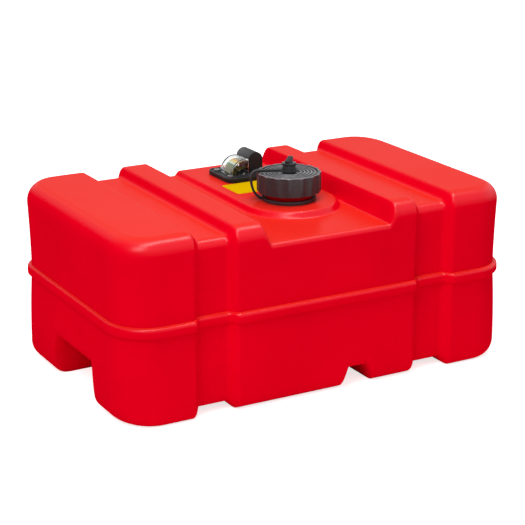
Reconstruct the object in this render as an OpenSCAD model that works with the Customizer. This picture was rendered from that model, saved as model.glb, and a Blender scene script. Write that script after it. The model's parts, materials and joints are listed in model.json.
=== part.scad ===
/* [Tank body] */
// Length of the body between its two end walls
body_l = 608; // [580:4:640]
// Width of the body between its front and back walls
body_w = 372; // [352:2:392]
// Height of the body from the pads it rests on to the tops of its ridges
body_h = 259; // [249:1:269]
// Wall thickness of the moulding
wall_t = 4.5; // [3.5:0.5:6]
// Plan radius of the four upright corners
corner_r = 55; // [45:1:60]
// Height of the moulding bead above the ground
bead_z = 134; // [120:1:145]
// How far the moulding bead stands out
bead_out = 6; // [3:0.5:7]

/* [Straps and recesses] */
// Distance of each strap groove from the middle
groove_x = 172.5; // [165:0.5:180]
// How far the grooves in the top lie to the right of the ones in the walls
mid_x = 2.5; // [0:0.5:4]
// Width of the flat floor of a strap groove
groove_floor = 40; // [30:1:45]
// Depth of the strap grooves
groove_d = 13.5; // [8:0.5:16]
// Depth of the middle recess in the top
recess_d = 29; // [22:1:32]
// How far the middle recess reaches to the left of the middle
recess_left = 95; // [92:1:102]
// How far the middle recess reaches to the right of the middle
recess_right = 103; // [100:1:108]
// Height of the hand holds under the two ends
hold_h = 58; // [45:1:70]
// Half the width of the hand holds
hold_half = 69; // [60:1:74]
// How far the hand holds reach in from the ends
hold_in = 62; // [40:1:70]

/* [Filler] */
// Distance of the filler axis to the right of the middle
filler_x = 23; // [20:1:26]
// Distance of the filler axis behind the middle
filler_y = -36; // [-40:1:-32]
// Bore of the filler neck
neck_bore_d = 58; // [50:1:60]
// Outer diameter of the filler neck at the root of its thread
neck_d = 68; // [66:0.5:70]
// Outer diameter of the screw cap
cap_d = 92; // [90:1:96]
// Height of the screw cap from its skirt to its rim
cap_h = 28; // [26:1:30]

/* [Fuel gauge] */
// Distance of the gauge plate to the right of the middle
gauge_x = 21; // [18:1:24]
// Distance of the gauge plate behind the middle
gauge_y = 111; // [108:1:114]
// Width of the gauge plate
plate_w = 72; // [70:1:74]
// Depth of the gauge plate from front to back
plate_l = 74; // [72:1:76]
// Radius of the clear lens
lens_r = 23; // [21:0.5:24]
// Distance of the float from the pivot of its arm
arm_l = 220; // [200:1:222]

/* [Hidden] */

half_l = body_l / 2;
half_w = body_w / 2;
eps = 0.01;

// ---- Smooth steps -------------------------------------------------------
// A step from 0 to 1 about c, spread over w on either side.
function step_up(v, c, w) =
    let (t = min(1, max(-1, (v - c) / w))) 0.5 + 0.75 * t - 0.25 * t * t * t;

// A band that is 1 between lo and hi and 0 outside.
function band(v, lo, hi, w) = step_up(v, lo, w) * (1 - step_up(v, hi, w));

// ---- Profiles of the body -----------------------------------------------
// Each takes d, the distance inside the outer skin: 0 outside, wall_t for the cavity.
edge_w = 7;
groove_half = groove_floor / 2 + edge_w;
notch_x = 51;
notch_half = 20;
notch_d = 26;
hold_x = half_l - hold_in;
hold_w = 6;
hold_mid = -13;
hold_front = hold_mid - hold_half + 2 * hold_w;
recess_fall = 3;

function in_groove(x, d) =
    band(abs(x), groove_x - groove_half - d, groove_x + groove_half + d, edge_w);
function in_recess(x, d) = band(x, -recess_left - d, recess_right + d, edge_w);
function in_notch(x, d) = band(x, notch_x - notch_half - d, notch_x + notch_half + d, edge_w);
function in_hold(x, y, d) =
    step_up(abs(x), hold_x - d, edge_w) * (1 - step_up(abs(y - hold_mid), hold_half + d, hold_w));

function top_z(x, y, d) =
    body_h - d - groove_d * in_groove(x - mid_x, d)
    - (recess_d - recess_fall * (half_w + y) / body_w) * in_recess(x, d);
function foot_z(x, y, d) =
    d + (groove_d - 3) * in_groove(x, d) + notch_d * in_notch(x, d) + hold_h * in_hold(x, y, d);

// Radius of the top edge: broad at the ends and the front, tighter at the back, in the
// grooves and in the recess.
function top_r(x, nx, ny, d) =
    let (cut = in_groove(x - mid_x, 0), mid = in_recess(x, 0),
         along = ny > 0 ? 14 - 7 * mid - 6 * cut : 24 - 11 * mid - 10 * cut)
    max(3, along + (27 - along) * nx * nx - d);
// Radius of the bottom edge, tighter under the end pads and where the underside is raised.
function foot_r(x, nx, z, d) =
    let (along = 20 - 7 * step_up(abs(x), groove_x - groove_half, edge_w))
    max(3, along + (24 - along) * nx * nx - 5 * (z - d) / hold_h - d);
// How far the walls swell out towards their top and bottom edges.
function swell(z, nx) =
    let (s = (z - bead_z) / 110)
    s > 0 ? 3 * s * s : (2 + 3 * nx * nx) * -s * (2 + s);

// ---- Outline of the body in plan ----------------------------------------
function sorted(v) = len(v) < 2 ? v :
    let (p = v[floor(len(v) / 2)])
    concat(sorted([for (a = v) if (a < p - eps) a]), [p], sorted([for (a = v) if (a > p + eps) a]));

// Steps of the profiles along each side, d inside the outer skin, as [place, half width].
function long_steps(d) = concat(
    [for (s = [-1, 1], e = [-1, 1])
        [mid_x / 2 + s * groove_x + e * (groove_half + d), edge_w + mid_x / 2]],
    [[-recess_left - d, edge_w], [recess_right + d, edge_w]],
    [for (s = [-1, 1]) [notch_x + s * (notch_half + d), edge_w]],
    [for (s = [-1, 1]) [s * (hold_x - d), edge_w]]);
function cross_steps(d) = [for (s = [-1, 1]) [hold_mid + s * (hold_half + d), hold_w]];

// Stations along a side: n of them across each step.
function stations(steps, n, reach, extra) =
    sorted(concat([-reach, reach], extra,
        [for (s = steps, i = [0 : n - 1])
            let (v = s[0] + s[1] * (2 * i / (n - 1) - 1)) if (abs(v) < reach - 1) v]));

// One side of the outline with half a corner at each end, as [along, out, slope, slope].
function side(st, half_a, half_o, n) = concat(
    [for (i = [0 : n - 1]) let (a = 45 * (1 - i / n))
        [corner_r - half_a - corner_r * sin(a), half_o - corner_r + corner_r * cos(a),
         -sin(a), cos(a)]],
    [for (s = st) [s, half_o, 0, 1]],
    [for (i = [1 : n]) let (a = 45 * i / n)
        [half_a - corner_r + corner_r * sin(a), half_o - corner_r + corner_r * cos(a),
         sin(a), cos(a)]]);

// The whole outline, anticlockwise from the front left corner, as [x, y, nx, ny].
function outline(fb, lr) = let (a = len(fb) - 1, b = len(lr) - 1) concat(
    [for (i = [0 : a - 1]) let (q = fb[i]) [q[0], -q[1], q[2], -q[3]]],
    [for (i = [0 : b - 1]) let (q = lr[i]) [q[1], q[0], q[3], q[2]]],
    [for (i = [0 : a - 1]) let (q = fb[a - i]) [q[0], q[1], q[2], q[3]]],
    [for (i = [0 : b - 1]) let (q = lr[b - i]) [-q[1], q[0], -q[3], q[2]]]);

// ---- Levels of the body -------------------------------------------------
bead_half = 8;

// A level is [kind, amount]: 0 bottom edge by angle, 1 wall below the bead, 2 bead by
// height, 3 wall above the bead, 4 top edge by angle.
function level_list(n, bead) = concat(
    [for (i = [0 : n]) [0, 90 - 90 * i / n]],
    [[1, 0.5]],
    [for (b = bead) [2, b]],
    [[3, 0.5]],
    [for (i = [0 : n]) [4, 90 * i / n]]);

function level_point(q, lv, d) =
    let (
        x = q[0],
        zb = foot_z(x, q[1], d),
        rb = foot_r(x, q[2], zb, d),
        zt = top_z(x, q[1], d),
        rt = top_r(x, q[2], q[3], d),
        lo = bead_z - bead_half,
        hi = bead_z + bead_half,
        a = lv[1],
        z = lv[0] == 0 ? zb + rb * (1 - sin(a)) :
            lv[0] == 1 ? zb + rb + (lo - zb - rb) * a :
            lv[0] == 2 ? bead_z + a :
            lv[0] == 3 ? hi + (zt - rt - hi) * a :
            zt - rt * (1 - sin(a)),
        round_in = lv[0] == 0 ? rb * (1 - cos(a)) : lv[0] == 4 ? rt * (1 - cos(a)) : 0,
        bead = lv[0] == 2 && d == 0 ? bead_out * max(0, 1 - pow(a / bead_half, 2)) : 0,
        sunk = (groove_d - 1) * in_groove(x, d) * q[3] * q[3],
        off = d + round_in + sunk - bead - swell(z, q[2])
    )
    [x - q[2] * off, q[1] - q[3] * off, z];

// ---- Closed skin of the body, d inside the outer one --------------------
// How soon the bends of a side fade away from it, along and across the body.
fade_x = 16;
fade_y = 6;

function mesh_grid(ring, a, b, d, top) =
    let (
        n = len(ring),
        c00 = ring[0],
        c10 = ring[a],
        c11 = ring[a + b],
        c01 = ring[2 * a + b]
    )
    [for (i = [1 : a - 1], j = [1 : b - 1])
        let (
            f = ring[i], k = ring[2 * a + b - i],
            r = ring[a + j], l = ring[(n - j) % n],
            u = (f[0] - c00[0]) / (c10[0] - c00[0]),
            v = (r[1] - c10[1]) / (c11[1] - c10[1]),
            p = [for (c = [0, 1])
                (1 - u) * (1 - v) * c00[c] + u * (1 - v) * c10[c]
                + u * v * c11[c] + (1 - u) * v * c01[c]
                + pow(1 - v, fade_y) * (f[c] - (1 - u) * c00[c] - u * c10[c])
                + pow(v, fade_y) * (k[c] - (1 - u) * c01[c] - u * c11[c])
                + pow(1 - u, fade_x) * (l[c] - (1 - v) * c00[c] - v * c01[c])
                + pow(u, fade_x) * (r[c] - (1 - v) * c10[c] - v * c11[c])]
        )
        [p[0], p[1], top ? top_z(p[0], p[1], d) : foot_z(p[0], p[1], d)]];

// Index of a grid point: on the ring that starts at r0, or inside, from g0.
function grid_at(i, j, a, b, r0, g0) =
    j == 0 ? r0 + i :
    i == a ? r0 + a + j :
    j == b ? r0 + 2 * a + b - i :
    i == 0 ? r0 + (2 * (a + b) - j) % (2 * (a + b)) :
    g0 + (i - 1) * (b - 1) + j - 1;

function grid_faces(a, b, r0, g0, up) =
    [for (i = [0 : a - 1], j = [0 : b - 1], h = [0, 1])
        let (
            p = grid_at(i, j, a, b, r0, g0),
            q = grid_at(i + 1, j, a, b, r0, g0),
            r = grid_at(i + 1, j + 1, a, b, r0, g0),
            s = grid_at(i, j + 1, a, b, r0, g0),
            f = h == 0 ? [p, q, r] : [p, r, s]
        )
        up ? [f[2], f[1], f[0]] : f];

module body_skin(d, n_step, n_edge, bead, extra_x, extra_y) {
    fb = side(stations(long_steps(d), n_step, half_l - corner_r, extra_x), half_l, half_w, n_edge);
    // The station at hold_front keeps the roof of the hand holds level up to there.
    lr = side(stations(cross_steps(d), 2, half_w - corner_r, concat(extra_y, [hold_front - d])),
              half_w, half_l, n_edge);
    a = len(fb) - 1;
    b = len(lr) - 1;
    n = 2 * (a + b);
    path = outline(fb, lr);
    levels = level_list(n_edge, bead);
    m = len(levels);
    rings = [for (lv = levels) [for (q = path) level_point(q, lv, d)]];
    foot = mesh_grid(rings[0], a, b, d, false);
    top = mesh_grid(rings[m - 1], a, b, d, true);
    points = concat([for (r = rings, p = r) p], foot, top);
    walls = [for (k = [0 : m - 2], i = [0 : n - 1], h = [0, 1])
        let (p = k * n + i, q = k * n + (i + 1) % n)
        h == 0 ? [p, p + n, q + n] : [p, q + n, q]];
    polyhedron(points, concat(
        walls,
        grid_faces(a, b, 0, m * n, false),
        grid_faces(a, b, (m - 1) * n, m * n + len(foot), true)));
}

// ---- Raised deck that carries the filler and the gauge ------------------
deck_z = 240;
deck_r = 68;
deck_foot = 7;
deck_back = half_w - 2;

// Solid of the deck, d inside its skin, from z = low up.
module deck(d, low) {
    top = deck_z - d;
    r = deck_r - d;
    translate([filler_x, filler_y, low]) cylinder(r = r + deck_foot, h = top - deck_foot - low, $fn = 96);
    translate([filler_x, filler_y, top - deck_foot])
        cylinder(r1 = r + deck_foot, r2 = r, h = deck_foot, $fn = 96);
    translate([filler_x, deck_back - d, 0]) rotate([90, 0, 0])
        linear_extrude(deck_back - d - filler_y)
            polygon([[-r - deck_foot, low], [r + deck_foot, low], [r + deck_foot, top - deck_foot],
                     [r, top], [-r, top], [-r - deck_foot, top - deck_foot]]);
}

// ---- Flat shapes --------------------------------------------------------
module round_rect(w, l, r, h) {
    linear_extrude(h) {
        square([w - 2 * r, l], center = true);
        square([w, l - 2 * r], center = true);
        for (sx = [-1, 1], sy = [-1, 1])
            translate([sx * (w / 2 - r), sy * (l / 2 - r)]) circle(r = r, $fn = 32);
    }
}

// A flat ring between two radii.
module ring(r_in, r_out, h) {
    difference() {
        cylinder(r = r_out, h = h, $fn = 96);
        translate([0, 0, -1]) cylinder(r = r_in, h = h + 2, $fn = 96);
    }
}

// ---- Filler -------------------------------------------------------------
fit = 0.3;
run_fit = 0.05;
neck_h = 32;
neck_top = deck_z + neck_h;
neck_r = neck_d / 2;
thread_pitch = 6;
thread_deep = 3.6;
thread_r = neck_r + thread_deep;
thread_half = 1.9;
crest_half = 0.6;
thread_top = neck_top - 5;

module at_filler(z) {
    translate([filler_x, filler_y, z]) children();
}

// One ridge of a screw thread, from radius r out by t, or in where t is below zero.
module thread_ring(r, t, z) {
    root = r - sign(t);
    translate([0, 0, z]) rotate_extrude($fn = 96)
        polygon([[root, -thread_half], [r, -thread_half], [r + t, -crest_half],
                 [r + t, crest_half], [r, thread_half], [root, thread_half]]);
}

module neck_solid() {
    at_filler(deck_z - 3) cylinder(r = neck_r, h = neck_h + 3, $fn = 96);
    for (i = [0 : 2]) at_filler(0) thread_ring(neck_r, thread_deep, thread_top - thread_pitch * i);
}

// ---- Gauge plate --------------------------------------------------------
gauge_hole_r = 26;
gasket_t = 2;
plate_t = 5;
plate_z = deck_z + gasket_t;
plate_top = plate_z + plate_t;
plate_floor = plate_top - 1;
plate_r = 12;
screw_x = 26;
screw_y = 22;
screw_r = 2.4;
screw_l = 13;
head_r = 4.4;
head_h = 2.8;
insert_r = 4;
insert_h = 9;
boss_r = 6.5;
boss_z = 229;

module at_gauge(z) {
    translate([gauge_x, gauge_y, z]) children();
}

module at_screws(z) {
    for (sx = [-1, 1], sy = [-1, 1]) at_gauge(z) translate([sx * screw_x, sy * screw_y, 0]) children();
}

// ---- Tank ---------------------------------------------------------------
module tank_hull() {
    body_skin(0, 4, 3, [-8, -4, 0, 4, 8], [-60, -20, 10, 230], [-30, 0, 30]);
    deck(0, deck_z - 20);
    neck_solid();
}

module tank_cavity() {
    body_skin(wall_t, 3, 2, [0], [], []);
    deck(wall_t, deck_z - 20);
}

module tank_shell() {
    color([0.86, 0.0, 0.1])
    difference() {
        union() {
            difference() {
                tank_hull();
                tank_cavity();
            }
            at_screws(boss_z) cylinder(r = boss_r, h = deck_z - boss_z - 1, $fn = 48);
        }
        at_filler(deck_z - 30) cylinder(d = neck_bore_d, h = neck_h + 40, $fn = 96);
        at_gauge(deck_z - 30) cylinder(r = gauge_hole_r, h = 40, $fn = 96);
        at_screws(deck_z - insert_h) cylinder(r = insert_r, h = insert_h + 1, $fn = 48);
    }
}

module label_plate() {
    label_w = 102;
    label_l = 53;
    label_x = filler_x - 1;
    label_y = filler_y + 82.5;
    label_t = 0.5;
    color([0.91, 0.75, 0.06])
    translate([label_x, label_y, deck_z]) round_rect(label_w, label_l, 4, label_t);
}

// ---- Cap and its tether -------------------------------------------------
cap_z = neck_top - 19;
cap_r = cap_d / 2;
cap_bore_r = thread_r + fit + thread_deep;
seal_t = 2.5;
cap_inside = neck_top + seal_t;
cap_rim = 4;
cap_dish = 2.5;
cap_face = cap_z + cap_h - cap_dish;
flute_n = 16;
flute_r = 20;
flute_d = 1.8;
flute_turn = -6.5;
boss_out = 9.5;
vent_z = cap_z + cap_h + 9;
vent_r = 4;
eye_in = boss_out + 0.6;
eye_out = 13.2;
eye_z = cap_z + cap_h + fit;
eye_t = 2.5;
strap_t = 3.2;
strap_w = 8;
strap_a = 158;
collar_in = neck_r + 0.4;
collar_out = 38.5;
collar_h = 5;
lug_in = collar_in + 0.5;
lug_t = 3.4;
lug_w = 8;
lug_h = 5.5;
ridge_r = 17;
ridge_w = 1.4;
ridge_h = 1.8;
ridge_step = 5;

module tether_collar() {
    color([0.08, 0.08, 0.085])
    at_filler(deck_z) {
        ring(collar_in, collar_out, collar_h);
        for (a = [strap_a - 8, strap_a + 172]) rotate([0, 0, a])
            translate([lug_in, -lug_w / 2, collar_h - 0.5]) cube([lug_t, lug_w, lug_h]);
    }
}

// Middle line of the strap in its upright plane, as [distance from the filler axis, z].
strap_mid = let (top = eye_z + strap_t / 2, bend = 10, out = 44.5, low = deck_z + 2.4, near = 39.9)
    concat([[eye_out - 1, top], [out - 12, top]],
        [for (a = [90 : -15 : 0]) [out + bend * cos(a), top - bend + bend * sin(a)]],
        [for (i = [1 : 8]) let (t = i / 8)
            [pow(1 - t, 2) * (out + bend) + 2 * t * (1 - t) * (out + bend) + t * t * near,
             pow(1 - t, 2) * (top - bend) + 2 * t * (1 - t) * (deck_z + 10) + t * t * low]]);

// Outline of a band of thickness t along a path.
function band_outline(path, t) =
    let (
        n = len(path) - 1,
        side_dir = [for (i = [0 : n])
            let (v = path[min(n, i + 1)] - path[max(0, i - 1)]) [-v[1], v[0]] / norm(v)]
    )
    concat([for (i = [0 : n]) path[i] + side_dir[i] * t / 2],
           [for (i = [0 : n]) path[n - i] - side_dir[n - i] * t / 2]);

module tether_strap() {
    color([0.1, 0.1, 0.105])
    at_filler(0) difference() {
        rotate([0, 0, strap_a]) rotate([90, 0, 0]) translate([0, 0, -strap_w / 2])
            linear_extrude(strap_w) polygon(band_outline(strap_mid, strap_t));
        translate([0, 0, eye_z - 1]) cylinder(r = eye_out, h = strap_t + 2, $fn = 96);
    }
}

module tether_eye() {
    color([0.1, 0.1, 0.105])
    at_filler(eye_z) ring(eye_in, eye_out, eye_t);
}

// Plan of the cap, with flutes for the fingers.
module cap_plan() {
    difference() {
        circle(r = cap_r, $fn = 128);
        for (i = [0 : flute_n - 1]) rotate(flute_turn + 360 * (i + 0.5) / flute_n)
            translate([cap_r + flute_r - flute_d, 0]) circle(r = flute_r, $fn = 96);
    }
}

module cap_shell() {
    color([0.09, 0.09, 0.095])
    difference() {
        union() {
            at_filler(cap_z) linear_extrude(cap_h) cap_plan();
            at_filler(cap_face) cylinder(r = boss_out, h = vent_z - cap_face, $fn = 64);
        }
        at_filler(cap_face) difference() {
            cylinder(r = cap_r - cap_rim, h = 10, $fn = 96);
            cylinder(r = boss_out, h = 10, $fn = 64);
            for (i = [0 : 4]) let (r = ridge_r + ridge_step * i) ring(r, r + ridge_w, ridge_h);
        }
        at_filler(0) difference() {
            translate([0, 0, cap_z - 1]) cylinder(r = cap_bore_r, h = cap_inside - cap_z + 1, $fn = 96);
            for (i = [0, 1]) thread_ring(cap_bore_r, -thread_deep, thread_top - thread_pitch * (i + 0.5));
        }
        at_filler(cap_inside - 1) cylinder(r = vent_r, h = 40, $fn = 48);
    }
}

module cap_gasket() {
    color([0.16, 0.16, 0.16])
    at_filler(neck_top) ring(neck_bore_d / 2 - 2, cap_bore_r - 1, seal_t);
}

// ---- Vent screw on the cap ----------------------------------------------
washer_t = 0.6;
knob_z = vent_z + washer_t;
knob_h = 2.7;
knob_r = 9;
lobe_r = 2.1;
grip_w = 6;
grip_h = 8.4;
grip_a = 35;
stem_end = neck_top - 4;

module vent_washer() {
    color([0.2, 0.2, 0.2])
    at_filler(vent_z) ring(vent_r, boss_out - 1, washer_t);
}

module vent_knob() {
    color([0.07, 0.07, 0.075])
    at_filler(knob_z) {
        linear_extrude(knob_h) {
            circle(r = knob_r + 1, $fn = 64);
            for (i = [0 : 7]) rotate(45 * i) translate([knob_r, 0]) circle(r = lobe_r, $fn = 32);
        }
        translate([0, 0, knob_h]) rotate([0, 0, grip_a]) rotate([90, 0, 0])
            translate([0, 0, -grip_w / 2]) linear_extrude(grip_w)
                polygon([[-7, 0], [7, 0], [8.5, 5], [7, grip_h], [3, grip_h], [-8, 3.5]]);
    }
}

module vent_stem() {
    flat_in = 1.2;
    color([0.07, 0.07, 0.075])
    at_filler(stem_end) difference() {
        cylinder(r = vent_r - run_fit, h = knob_z - stem_end, $fn = 48);
        translate([vent_r - flat_in, -5, -1]) cube([5, 10, vent_z - stem_end - 3]);
    }
}

// ---- Gauge --------------------------------------------------------------
dial_z = plate_top;
dial_r = 18;
dial_y = 10.8;
dial_from = 72;
dial_to = 215;
axle_r = 1.5;
cheek_in = 11.5;
cheek_t = 2.5;
cheek_r = 7;
arm_z = dial_z - 32;
hub_r = 13;
wire_r = 1.6;
float_r = 15;
float_len = 56;
float_low = 22;
hub_y = 7;
tilt = acos((arm_z - float_low) / arm_l);
lens_l = 34;
lens_t = 2.5;
tower_x = 20;
tower_y = 4;
tower_w = 24;
barrel_r = 12;
barrel_z = 265.5;
barrel_front = 15;
barrel_back = 23;
port_r = 5.55;
port_out = 8;
port_l = 14;
port_rim = 3;
tube_out = 4.5;
tube_in = 3.2;
tube_up = 258;
wire_in = 6;
wire_past = 8;
plate_rim = 2.5;
slot_left = -18.5;
slot_w = 26;

// Turns a plan in x and z into a solid from y0 to y1, seen from the front.
module upright(y0, y1) {
    translate([0, y1, 0]) rotate([90, 0, 0]) linear_extrude(y1 - y0) children();
}

module gauge_gasket() {
    color([0.13, 0.13, 0.13])
    difference() {
        at_gauge(deck_z) round_rect(plate_w - 2, plate_l - 2, plate_r - 1, gasket_t);
        at_gauge(deck_z - 1) cylinder(r = gauge_hole_r, h = gasket_t + 2, $fn = 96);
        at_screws(deck_z - 1) cylinder(r = screw_r + fit, h = gasket_t + 2, $fn = 32);
    }
}

module cheek_plan() {
    translate([-cheek_r, 0]) square([2 * cheek_r, dial_z - arm_z]);
    circle(r = cheek_r, $fn = 48);
    translate([0, dial_z - arm_z]) circle(r = cheek_r, $fn = 48);
}

module gauge_base() {
    color([0.12, 0.12, 0.125])
    difference() {
        union() {
            difference() {
                at_gauge(plate_z) round_rect(plate_w, plate_l, plate_r, plate_t);
                at_gauge(plate_floor)
                    round_rect(plate_w - 2 * plate_rim, plate_l - 2 * plate_rim, plate_r - plate_rim, 5);
                at_gauge(plate_z - 1) translate([slot_left, -cheek_in, 0])
                    cube([slot_w, 2 * cheek_in, 9]);
            }
            for (y0 = [-cheek_in - cheek_t, cheek_in]) at_gauge(arm_z)
                upright(y0, y0 + cheek_t) cheek_plan();
        }
        for (z = [arm_z, dial_z]) at_gauge(z) rotate([90, 0, 0])
            cylinder(r = axle_r, h = 60, center = true, $fn = 32);
        at_gauge(plate_z - 1) translate([tower_x, tower_y, 0]) cylinder(r = tube_out, h = 9, $fn = 48);
        at_screws(plate_z - 1) cylinder(r = screw_r + fit, h = 9, $fn = 32);
    }
}

module axle(z) {
    color([0.7, 0.7, 0.72])
    at_gauge(z) rotate([90, 0, 0])
        cylinder(r = axle_r, h = 2 * (cheek_in + cheek_t), center = true, $fn = 32);
}

module dial_axle() axle(dial_z);

module arm_pin() axle(arm_z);

// Plan of a sector from one angle to another.
module sector(r, from, to) {
    intersection() {
        circle(r = r, $fn = 96);
        polygon(concat([[0, 0]], [for (i = [0 : 8]) let (a = from + (to - from) * i / 8)
            [2 * r * cos(a), 2 * r * sin(a)]]));
    }
}

module gauge_dial() {
    color([0.45, 0.42, 0.25])
    at_gauge(dial_z) difference() {
        union() {
            upright(-dial_y, dial_y) difference() {
                sector(dial_r, dial_from, dial_to);
                circle(r = dial_r - 1.6, $fn = 96);
            }
            upright(dial_y - 2, dial_y) sector(dial_r, dial_from, dial_to);
            upright(-dial_y, dial_y) circle(r = 4, $fn = 32);
            upright(dial_y - 6, dial_y) circle(r = cheek_r, $fn = 48);
        }
        rotate([90, 0, 0]) cylinder(r = axle_r + run_fit, h = 60, center = true, $fn = 32);
    }
}

// The float's wire from its hub, widened by t.
module wire(t, from, to) {
    at_gauge(arm_z) translate([0, -hub_y, 0]) rotate([0, 180 + tilt, 0])
        translate([0, 0, from]) cylinder(r = wire_r + t, h = to - from, $fn = 32);
}

module arm_hub() {
    color([0.15, 0.15, 0.155])
    difference() {
        at_gauge(arm_z) {
            upright(-hub_y - 3, -hub_y + 3) circle(r = hub_r, $fn = 64);
            upright(-cheek_in + 0.5, cheek_in - 0.5) circle(r = 4, $fn = 32);
        }
        at_gauge(arm_z) rotate([90, 0, 0])
            cylinder(r = axle_r + run_fit, h = 60, center = true, $fn = 32);
        wire(0, wire_in, 40);
    }
}

module float_arm() {
    color([0.75, 0.75, 0.77]) wire(0, wire_in, arm_l + wire_past);
}

module fuel_float() {
    color([0.2, 0.18, 0.16])
    difference() {
        at_gauge(float_low) translate([-arm_l * sin(tilt), -hub_y, 0]) rotate([90, 0, 0])
            cylinder(r = float_r, h = float_len, center = true, $fn = 64);
        wire(0, arm_l - 30, arm_l + wire_past);
    }
}

module gauge_lens() {
    edge = tower_x - barrel_r - 0.5;
    color([0.85, 0.9, 0.92, 0.4])
    at_gauge(dial_z) difference() {
        upright(-lens_l / 2, lens_l / 2) intersection() {
            circle(r = lens_r, $fn = 128);
            translate([-lens_r, plate_floor - dial_z]) square([lens_r + edge, 2 * lens_r]);
        }
        upright(-lens_l / 2 + lens_t, lens_l / 2 - lens_t) circle(r = lens_r - lens_t, $fn = 128);
    }
}

module outlet_tower() {
    color([0.14, 0.14, 0.145])
    at_gauge(0) difference() {
        union() {
            upright(-barrel_front, barrel_front)
                translate([tower_x - tower_w / 2, plate_floor]) square([tower_w, barrel_z - plate_floor]);
            upright(-barrel_front, barrel_back) translate([tower_x, barrel_z]) circle(r = barrel_r, $fn = 96);
        }
        upright(barrel_back - port_l, barrel_back + 1)
            translate([tower_x, barrel_z]) circle(r = port_out, $fn = 64);
        upright(tower_y, barrel_back) translate([tower_x, barrel_z]) circle(r = tube_in, $fn = 48);
        translate([tower_x, tower_y, plate_floor - 1])
            cylinder(r = tube_out, h = tube_up - plate_floor + 1, $fn = 48);
        translate([tower_x, tower_y, plate_floor])
            cylinder(r = tube_in, h = barrel_z - plate_floor, $fn = 48);
    }
}

module port_insert() {
    color([0.78, 0.6, 0.25])
    at_gauge(0) difference() {
        union() {
            upright(barrel_back - port_l, barrel_back)
                translate([tower_x, barrel_z]) circle(r = port_out, $fn = 64);
            upright(barrel_back, barrel_back + port_rim)
                translate([tower_x, barrel_z]) circle(r = port_out + 1.5, $fn = 6);
        }
        upright(barrel_back - port_l - 1, barrel_back + port_rim + 1)
            translate([tower_x, barrel_z]) circle(r = port_r, $fn = 64);
    }
}

// ---- Pickup -------------------------------------------------------------
tube_bend = 80;
tube_foot = 40;
tube_side = 31;
tube_end = 12;
elbow = 0.4;
strainer_z = 7;
strainer_h = 20;
strainer_r = 8;

// Rod of radius r along the pickup, with round elbows.
module pickup_rod(r, over) {
    run = [-tube_side, 0, tube_foot - tube_bend];
    at_gauge(0) translate([tower_x, tower_y, 0]) {
        translate([0, 0, tube_bend]) cylinder(r = r, h = tube_up - tube_bend + over, $fn = 48);
        translate([0, 0, tube_bend]) sphere(r = r + elbow, $fn = 48);
        translate([0, 0, tube_bend]) rotate([0, 180 + atan2(tube_side, -run[2]), 0])
            cylinder(r = r, h = norm(run), $fn = 48);
        translate([-tube_side, 0, tube_foot]) sphere(r = r + elbow, $fn = 48);
        translate([-tube_side, 0, tube_end - over])
            cylinder(r = r, h = tube_foot - tube_end + over, $fn = 48);
    }
}

module pickup_tube() {
    color([0.8, 0.8, 0.78])
    difference() {
        pickup_rod(tube_out, 0);
        pickup_rod(tube_in, 1);
    }
}

module pickup_strainer() {
    color([0.75, 0.6, 0.3])
    at_gauge(strainer_z) translate([tower_x - tube_side, tower_y, 0]) difference() {
        cylinder(r = strainer_r, h = strainer_h, $fn = 48);
        translate([0, 0, tube_end - strainer_z]) cylinder(r = tube_out, h = strainer_h, $fn = 48);
        translate([0, 0, 1.5]) cylinder(r = strainer_r - 1.5, h = tube_end - strainer_z - 1.5, $fn = 48);
    }
}

// ---- Fixings ------------------------------------------------------------
module screw_inserts() {
    color([0.78, 0.6, 0.25])
    at_screws(deck_z - insert_h) ring_insert();
}

module ring_insert() {
    difference() {
        cylinder(r = insert_r, h = insert_h, $fn = 48);
        translate([0, 0, -1]) cylinder(r = screw_r, h = insert_h + 2, $fn = 32);
    }
}

module gauge_screws() {
    drive_l = 5.2;
    drive_w = 1;
    drive_h = 1.4;
    color([0.7, 0.7, 0.72])
    at_screws(plate_floor) difference() {
        union() {
            cylinder(r = head_r, h = head_h, $fn = 48);
            translate([0, 0, -screw_l]) cylinder(r = screw_r, h = screw_l, $fn = 32);
        }
        for (a = [0, 90]) rotate([0, 0, a]) translate([-drive_l / 2, -drive_w / 2, head_h - drive_h])
            cube([drive_l, drive_w, drive_h + 0.6]);
    }
}

tank_shell();
screw_inserts();
label_plate();
tether_collar();
tether_strap();
tether_eye();
cap_shell();
cap_gasket();
vent_washer();
vent_knob();
vent_stem();
gauge_gasket();
gauge_base();
gauge_screws();
gauge_lens();
gauge_dial();
dial_axle();
arm_pin();
arm_hub();
float_arm();
fuel_float();
outlet_tower();
port_insert();
pickup_tube();
pickup_strainer();
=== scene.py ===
"""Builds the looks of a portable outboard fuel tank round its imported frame.

The tank is a hollow red moulding with a parting bead, two strap grooves, a middle recess
and a hand hold under each end. On its raised deck sit a fluted screw cap with a vent screw
and a tether, and a float gauge with a clear lens and an outlet tower.
"""

import json
import math
from types import SimpleNamespace

import bmesh
import bpy
import numpy as np
from bpy.props import FloatProperty, FloatVectorProperty, PointerProperty
from mathutils import Matrix, Vector


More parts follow.
